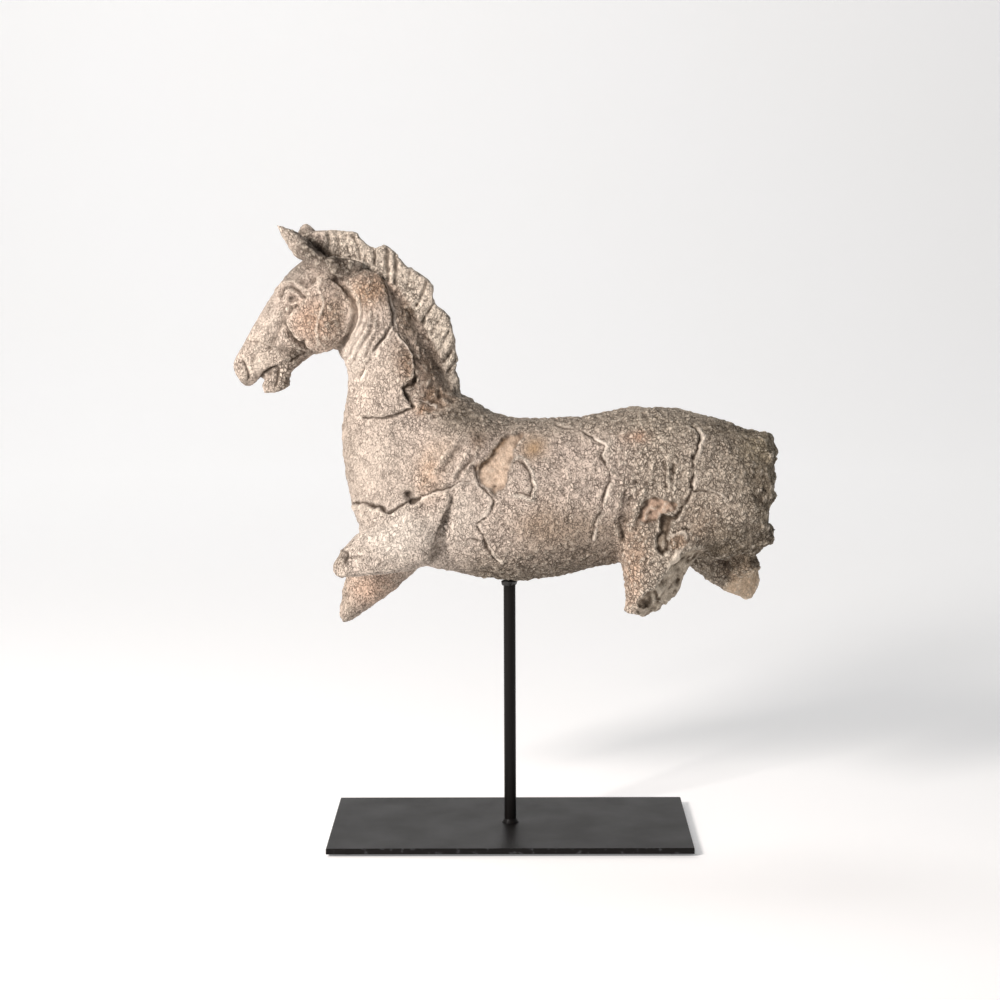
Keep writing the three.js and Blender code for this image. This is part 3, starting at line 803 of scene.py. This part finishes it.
# places rubbed smooth: middle, half sizes and share
worn = [
    ((-124, 424), (10, 30), 0.8),
    ((-200, 436), (11, 26), 0.45),
    ((-176, 470), (13, 8), 0.4),
    ((-206, 396), (7, 9), 0.7),
    ((-112, 312), (34, 40), 0.4),
    ((-60, 326), (26, 20), 0.3),
    ((-110, 384), (12, 16), 0.3),
    ((-90, 250), (30, 18), 0.35),
    ((-88, 295), (8, 7), 0.6),
    ((-34, 274), (12, 22), 0.35),
    ((18, 327), (10, 8), 0.6),
]

# places where the crackle is stronger
crazedAt = [
    (-80, 438), (-66, 400), (-150, 430), (-112, 458), (-84, 390), (-180, 402), (-165, 490), (-134, 476),
    (-186, 380),
]
crazedSize = (12, 18)

# painted shadow between the near ear and the mane: behind the ear, along its foot and at its root
earShade = [(-172, 503), (-160, 495), (-150, 487), (-143, 480)]
earFoot = [(-163, 490), (-150, 484), (-138, 477)]
earRoot = [(-153, 491), (-146, 484), (-138, 479)]


def spotShare(flat, middle, halfSizes):  # 1 in the middle of an oval, falling off smoothly
    return np.exp(-np.sum(((flat - middle) / halfSizes) ** 2, axis=1))


def paintStainsAndShade(clay):
    x, y, z = clay.placed.T
    flat = clay.flat(5.0, 16, 41)
    clay.paint("#ADA18E", 0.55 * ramp(z, 330, 352) * ramp(x, -70, -40))  # dust on the back
    clay.paint("#C7B9A6", 0.6 * ramp(x, 80, 120))  # the haunch
    clay.paint("#887B63", 0.7 * ramp(x + 0.3 * (z - 300), 168, 216))  # the rump, darker towards its end: dirt, and painted shade where the light falls off
    # painted shade under the near side of the rump
    clay.paint("#5F5341", 0.68 * ramp(-z, -256, -246) * ramp(x, 150, 165) * ramp(-y, -6, 2))
    # painted shade under the belly
    belly = ramp(-z, -260, -222) * ramp(x, -60, -20) * (1 - ramp(x, 84, 96))
    clay.paint("#7C705F", 0.75 * belly)
    for middle, halfSizes, colour, strength, side in stainsAndShade:
        spot = spotShare(flat, middle, halfSizes)
        if side:
            spot = spot * ramp(side * y, -3, 3)
        clay.paint(colour, strength * spot)
    for middle, halfSizes, share in worn:
        clay.strip(share * spotShare(flat, middle, halfSizes))
    clay.paint("#DED0BF", 0.8 * maneShare(clay.placed))
    clay.paint("#5D5246", 0.5 * clay.torn * ramp(clay.noise(9, 51), -0.1, 0.6) * (x > 150))
    # the pale broken end of the far hind stump
    far = ramp(y, 4, 12) * ramp(-z, -240, -230)
    end = far * ramp(x - 0.3 * (z - 200) + 5 * clay.noise(8, 52), 176, 186)
    clay.paint("#DCC1A4", 0.8 * end)
    clay.strip(0.65 * end)
    # painted shadow of the near ear on the mane, and painted shade along the ear's foot and root
    clay.paint("#3F352D", 0.9 * stroke(clay.side, earShade, 6) * ramp(y, -26, -14))
    clay.paint("#5B5046", 0.7 * stroke(clay.side, earFoot, 8))
    clay.paint("#43382E", 0.7 * stroke(clay.side, earRoot, 3.5) * ramp(-y, 0, 6))
    clay.crazed = np.maximum.reduce([
        ramp(x, 60, 110),
        ramp(-z, -262, -236) * ramp(x, -40, -10),
        ramp(z, 338, 352) * ramp(x, -60, -30),
        *(spotShare(flat, middle, crazedSize) for middle in crazedAt),
    ])


def shadeHollowsRubRidges(clay):  # dirt and painted shade darken the hollows, and the ridges are rubbed pale
    smoothed = soften(clay.points, clay.edges, 8, np.full(len(clay.points), horse["softenShare"]))
    hollow = np.sum((smoothed - clay.points) * clay.normals, axis=1)
    clay.paint(clayLook["dirtAndShade"], (0.6 + 0.3 * clay.crazed) * ramp(hollow, 0.1, 0.7))
    clay.paint(clayLook["rubbed"], (0.32 + 0.28 * clay.crazed) * ramp(-hollow, 0.08, 0.55))


def makeHorse():
    piece = addObject("horse_clay", readCopy("horse"))
    remesh(piece, horse["voxel"])
    clay = Clay(piece.data)
    print("horse remeshed:", len(clay.points), "points")
    smoothBody(clay)
    carveForms(clay)
    tearBreaks(clay)
    paintStainsAndShade(clay)
    carveFlakes(clay)
    carveCracks(clay, nearCracks, clay.near)
    carveCracks(clay, farCracks, 1 - clay.near)
    # lumps all over, and worm-like relief where the skin isn't bare
    lumps = 0.8 * clay.noise(19, 5) + 0.5 * clay.noise(9, 8)
    worms = np.abs(clay.noise(5, 6)) + 0.6 * np.abs(clay.noise(2.9, 7))
    rough = (1 - 0.7 * clay.bare) * (1 - 0.5 * ramp(-clay.placed[:, 0], 180, 192))
    clay.push(lumps + rough * (1 + 0.35 * clay.crazed) * (1.15 * worms - 0.55))
    clay.points[:, 0] = np.clip(clay.points[:, 0], *horse["reach"])
    clay.refresh()
    shadeHollowsRubRidges(clay)
    print("horse carved")
    for name, values in (("dark", clay.dark), ("bare", clay.bare), ("crazed", clay.crazed)):
        attribute = piece.data.attributes.new(name, "FLOAT", "POINT")
        attribute.data.foreach_set("value", np.clip(values, 0, 1))
    attribute = piece.data.attributes.new("tint", "FLOAT_COLOR", "POINT")
    attribute.data.foreach_set("color", np.column_stack([clay.tint, np.ones(len(clay.tint))]).ravel())
    thin(piece, horse["triangles"])
    print("horse thinned:", len(piece.data.polygons), "faces")
    piece.data.shade_smooth()
    piece.data.materials.clear()
    piece.data.materials.append(firedClay())
    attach(piece, "root")
    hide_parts("horse")


clayLook = {
    "base": "#CCBBAD",
    "crevice": "#382C22",
    # dirt and painted shade in the hollows
    "dirtAndShade": "#55473A",
    "rubbed": "#EADDCB",
    "wormSize": 2.9,  # of the crevices, in millimetres, like the sizes below
    "cellSize": 3.3,  # of the crackle, a little coarser than the real one so that it shows
    "warpSize": 4.0,
    "patchSize": 9.0,
    "mottleSize": 6.0,
    "gap": 0.1,  # between the cells, as a share of their size
    "crazedGap": 0.14,
    "depth": 0.8,
}


def firedClay():  # porous fired clay: matte, with dense broken dark crackle between pale grains
    material, tree, shader, place = newMaterial("fired clay")
    tint, dark, bare, crazed = [
        addNode(tree, "ShaderNodeAttribute", {"attribute_name": name})
        for name in ("tint", "dark", "bare", "crazed")]
    warp = addNode(tree, "ShaderNodeTexNoise", inputs={
        "Vector": place, "Scale": 1 / (clayLook["warpSize"] * mm), "Detail": 2.0})
    centred = addNode(tree, "ShaderNodeVectorMath", {"operation": "SUBTRACT"}, {
        0: warp.outputs["Color"], 1: (0.5, 0.5, 0.5)})
    scaled = addNode(tree, "ShaderNodeVectorMath", {"operation": "SCALE"}, {
        0: centred.outputs[0], "Scale": clayLook["warpSize"] * mm})
    upright = addNode(tree, "ShaderNodeVectorMath", {"operation": "MULTIPLY"}, {
        0: place, 1: (1.12, 1.0, 0.84)})
    bent = addNode(tree, "ShaderNodeVectorMath", {"operation": "ADD"}, {
        0: upright.outputs[0], 1: scaled.outputs[0]})
    # a net of cells, stronger in some places than in others
    cells = addNode(tree, "ShaderNodeTexVoronoi", {"feature": "DISTANCE_TO_EDGE"}, {
        "Vector": bent.outputs[0], "Scale": 1 / (clayLook["cellSize"] * mm)})
    gap = addNode(tree, "ShaderNodeMapRange", inputs={
        "Value": crazed.outputs["Fac"], "To Min": clayLook["gap"], "To Max": clayLook["crazedGap"]})
    net = addNode(tree, "ShaderNodeMapRange", inputs={
        "Value": cells.outputs["Distance"], "From Min": 0.01, "From Max": gap.outputs["Result"],
        "To Min": 1.0, "To Max": 0.0})
    patch = addNode(tree, "ShaderNodeTexNoise", inputs={
        "Vector": place, "Scale": 1 / (clayLook["patchSize"] * mm), "Detail": 3.0, "Roughness": 0.65})
    spread = addNode(tree, "ShaderNodeMath", {"operation": "MULTIPLY_ADD"}, {
        0: crazed.outputs["Fac"], 1: 0.1, 2: patch.outputs["Fac"]})
    netShare = addNode(tree, "ShaderNodeMapRange", inputs={
        "Value": spread.outputs[0], "From Min": 0.42, "From Max": 0.64, "To Min": 0.1, "To Max": 0.95})
    netLines = addNode(tree, "ShaderNodeMath", {"operation": "MULTIPLY"}, {
        0: net.outputs["Result"], 1: netShare.outputs["Result"]})
    # short worm-like crevices
    worm = addNode(tree, "ShaderNodeTexNoise", inputs={
        "Vector": bent.outputs[0], "Scale": 1 / (clayLook["wormSize"] * mm),
        "Detail": 2.0, "Roughness": 0.55})
    offset = addNode(tree, "ShaderNodeMath", {"operation": "SUBTRACT"}, {0: worm.outputs["Fac"], 1: 0.5})
    size = addNode(tree, "ShaderNodeMath", {"operation": "ABSOLUTE"}, {0: offset.outputs[0]})
    wormLines = addNode(tree, "ShaderNodeMapRange", inputs={
        "Value": size.outputs[0], "From Min": 0.004, "From Max": 0.03, "To Min": 0.85, "To Max": 0.0})
    pits = addNode(tree, "ShaderNodeMapRange", inputs={
        "Value": worm.outputs["Fac"], "From Min": 0.27, "From Max": 0.38, "To Min": 0.85, "To Max": 0.0})
    both = addNode(tree, "ShaderNodeMath", {"operation": "MAXIMUM"}, {
        0: netLines.outputs[0], 1: wormLines.outputs["Result"]})
    marks = addNode(tree, "ShaderNodeMath", {"operation": "MAXIMUM"}, {
        0: both.outputs[0], 1: pits.outputs["Result"]})
    skin = addNode(tree, "ShaderNodeMapRange", inputs={
        "Value": bare.outputs["Fac"], "From Min": 0.0, "From Max": 1.0, "To Min": 1.0, "To Max": 0.15})
    crackle = addNode(tree, "ShaderNodeMath", {"operation": "MULTIPLY"}, {
        0: marks.outputs[0], 1: skin.outputs["Result"]})
    lines = addNode(tree, "ShaderNodeMath", {"operation": "MAXIMUM"}, {
        0: crackle.outputs[0], 1: dark.outputs["Fac"]})
    shown = addNode(tree, "ShaderNodeMath", {"operation": "MULTIPLY"}, {0: lines.outputs[0], 1: 0.9})
    mottle = addNode(tree, "ShaderNodeTexNoise", inputs={
        "Vector": place, "Scale": 1 / (clayLook["mottleSize"] * mm), "Detail": 5.0, "Roughness": 0.65})
    lift = addNode(tree, "ShaderNodeMapRange", inputs={
        "Value": mottle.outputs["Fac"], "From Min": 0.3, "From Max": 0.7, "To Min": 0.82, "To Max": 1.14})
    ground = addNode(tree, "ShaderNodeVectorMath", {"operation": "SCALE"}, {
        0: tint.outputs["Color"], "Scale": lift.outputs["Result"]})
    colour = addNode(tree, "ShaderNodeMix", {"data_type": "RGBA"}, {
        "Factor": shown.outputs[0], "A": ground.outputs[0], "B": linear(clayLook["crevice"])})
    link(tree, colour.outputs["Result"], shader, "Base Color")
    height = addNode(tree, "ShaderNodeMath", {"operation": "SUBTRACT"}, {
        0: worm.outputs["Fac"], 1: crackle.outputs[0]})
    relief = addNode(tree, "ShaderNodeBump", inputs={
        "Strength": 1.0, "Distance": clayLook["depth"] * mm, "Height": height.outputs[0]})
    link(tree, relief.outputs[0], shader, "Normal")
    shader.inputs["Roughness"].default_value = 0.92
    shader.inputs["Specular IOR Level"].default_value = 0.2
    return material


steel = {
    "black": "#0E0C0B",
    "cloudy": "#151211",
    "scuff": "#39393B",
    "halfLength": 150,
    "halfWidth": 75,
    "wearWidth": 1.6,
    "peelSize": 0.9,  # coarser than real orange peel, so that it shows
    "cloudSize": 40,
    "chipSize": 5,
}


def powderCoat(name, worn=False):  # powder-coated steel: black, with a satin sheen and a fine orange peel
    material, tree, shader, place = newMaterial(name)
    peel = addNode(tree, "ShaderNodeTexNoise", inputs={
        "Vector": place, "Scale": 1 / (steel["peelSize"] * mm), "Detail": 2.0})
    cloud = addNode(tree, "ShaderNodeTexNoise", inputs={
        "Vector": place, "Scale": 1 / (steel["cloudSize"] * mm), "Detail": 3.0})
    tone = addNode(tree, "ShaderNodeMix", {"data_type": "RGBA"}, {
        "Factor": cloud.outputs["Fac"], "A": linear(steel["black"]), "B": linear(steel["cloudy"])})
    colour = tone.outputs["Result"]
    sheen = addNode(tree, "ShaderNodeMapRange", inputs={
        "Value": cloud.outputs["Fac"], "From Min": 0.3, "From Max": 0.7, "To Min": 0.36, "To Max": 0.45})
    link(tree, sheen.outputs["Result"], shader, "Roughness")
    if worn:  # small scuffs and chips along the plate's edges
        parts = addNode(tree, "ShaderNodeSeparateXYZ", inputs={0: place})
        reach = []
        for axis, half in (("X", steel["halfLength"]), ("Y", steel["halfWidth"])):
            size = addNode(tree, "ShaderNodeMath", {"operation": "ABSOLUTE"}, {0: parts.outputs[axis]})
            inner = (half - steel["wearWidth"]) * mm
            past = addNode(tree, "ShaderNodeMath", {"operation": "SUBTRACT"}, {
                0: size.outputs[0], 1: inner})
            reach.append(past.outputs[0])
        edge = addNode(tree, "ShaderNodeMath", {"operation": "MAXIMUM"}, {0: reach[0], 1: reach[1]})
        share = addNode(tree, "ShaderNodeMapRange", inputs={
            "Value": edge.outputs[0], "From Min": 0.0, "From Max": steel["wearWidth"] * mm})
        chips = addNode(tree, "ShaderNodeTexNoise", inputs={
            "Vector": place, "Scale": 1 / (steel["chipSize"] * mm), "Detail": 6.0})
        chipped = addNode(tree, "ShaderNodeMapRange", inputs={
            "Value": chips.outputs["Fac"], "From Min": 0.58, "From Max": 0.66})
        scuffed = addNode(tree, "ShaderNodeMath", {"operation": "MULTIPLY"}, {
            0: share.outputs["Result"], 1: chipped.outputs["Result"]})
        scuffs = addNode(tree, "ShaderNodeMix", {"data_type": "RGBA"}, {
            "Factor": scuffed.outputs[0], "A": colour, "B": linear(steel["scuff"])})
        colour = scuffs.outputs["Result"]
    link(tree, colour, shader, "Base Color")
    relief = addNode(tree, "ShaderNodeBump", inputs={"Strength": 0.25, "Distance": 0.1 * mm})
    link(tree, peel.outputs["Fac"], relief, "Height")
    link(tree, relief.outputs[0], shader, "Normal")
    shader.inputs["Specular IOR Level"].default_value = 0.14
    return material


pad = {
    "black": "#101010",
    "dusty": "#1B1B1B",
    "grit": 0.6,  # coarser than the real one, so that it shows
}


def blackRubber():  # dense moulded rubber: flat black
    material, tree, shader, place = newMaterial("black rubber")
    grit = addNode(tree, "ShaderNodeTexNoise", inputs={
        "Vector": place, "Scale": 1 / (pad["grit"] * mm), "Detail": 2.0})
    tone = addNode(tree, "ShaderNodeMix", {"data_type": "RGBA"}, {
        "Factor": grit.outputs["Fac"], "A": linear(pad["black"]), "B": linear(pad["dusty"])})
    link(tree, tone.outputs["Result"], shader, "Base Color")
    shader.inputs["Roughness"].default_value = 0.85
    return material


bead = {
    "radius": 6.4,
    "taper": 0.9,  # the lower rim is that much smaller
    "rim": 1.2,  # how far its edges are rounded
    "top": 215.2,
    "bottom": 210.6,
    "lumps": 2.6,
    "black": "#0B0A0A",
    "dusty": "#1A1715",
    "cloudSize": 2,
}


def blackEpoxy():  # black epoxy: wet-looking, squeezed out and never trimmed
    material, tree, shader, place = newMaterial("black epoxy")
    cloud = addNode(tree, "ShaderNodeTexNoise", inputs={
        "Vector": place, "Scale": 1 / (bead["cloudSize"] * mm), "Detail": 3.0})
    tone = addNode(tree, "ShaderNodeMix", {"data_type": "RGBA"}, {
        "Factor": cloud.outputs["Fac"], "A": linear(bead["black"]), "B": linear(bead["dusty"])})
    link(tree, tone.outputs["Result"], shader, "Base Color")
    relief = addNode(tree, "ShaderNodeBump", inputs={"Strength": 0.6, "Distance": 0.3 * mm})
    link(tree, cloud.outputs["Fac"], relief, "Height")
    link(tree, relief.outputs[0], shader, "Normal")
    shader.inputs["Roughness"].default_value = 0.33
    shader.inputs["IOR"].default_value = 1.5
    return material


def makeBead():
    tall = bead["top"] - bead["bottom"]
    bm = bmesh.new()
    bmesh.ops.create_cone(bm, cap_ends=True, segments=40, radius1=bead["radius"] - bead["taper"],
                          radius2=bead["radius"], depth=tall)
    rims = [e for e in bm.edges if e.calc_face_angle(0) > 1]
    bmesh.ops.bevel(bm, geom=rims, offset=bead["rim"], segments=3, profile=0.5, affect="EDGES", material=-1)
    sides = [e for e in bm.edges if abs(e.verts[0].co.z - e.verts[1].co.z) > 0.5 * tall]
    bmesh.ops.subdivide_edges(bm, edges=sides, cuts=5, use_grid_fill=True)
    bmesh.ops.translate(bm, verts=bm.verts, vec=(0, 0, bead["bottom"] + 0.5 * tall))
    places = np.array([v.co for v in bm.verts])
    lumps = bead["lumps"] * (0.6 * softNoise(places, 3.6, 91) + 0.4 * softNoise(places, 1.7, 92))
    for vertex, lump in zip(bm.verts, lumps):
        vertex.co.x *= 1 + lump / bead["radius"]
        vertex.co.y *= 1 + lump / bead["radius"]
    bmesh.ops.scale(bm, verts=bm.verts, vec=(mm, mm, mm))
    bmesh.ops.recalc_face_normals(bm, faces=bm.faces)
    mesh = finishMesh(bm, "bead")
    mesh.shade_smooth()
    mesh.materials.append(blackEpoxy())
    piece = addObject("glue_squeezed_out", mesh)
    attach(piece, "root")
    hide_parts("glue_bead")


def repaint(node, material):
    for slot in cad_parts[node].material_slots:
        slot.material = material


makeHorse()
print("horse made")
repaint("rod", powderCoat("powder-coated steel bar"))
repaint("base_plate", powderCoat("powder-coated steel plate", worn=True))
rubber = blackRubber()
for number in (1, 2, 3, 4):
    repaint(f"foot_pad_{number}", rubber)
makeBead()
print("stand painted")
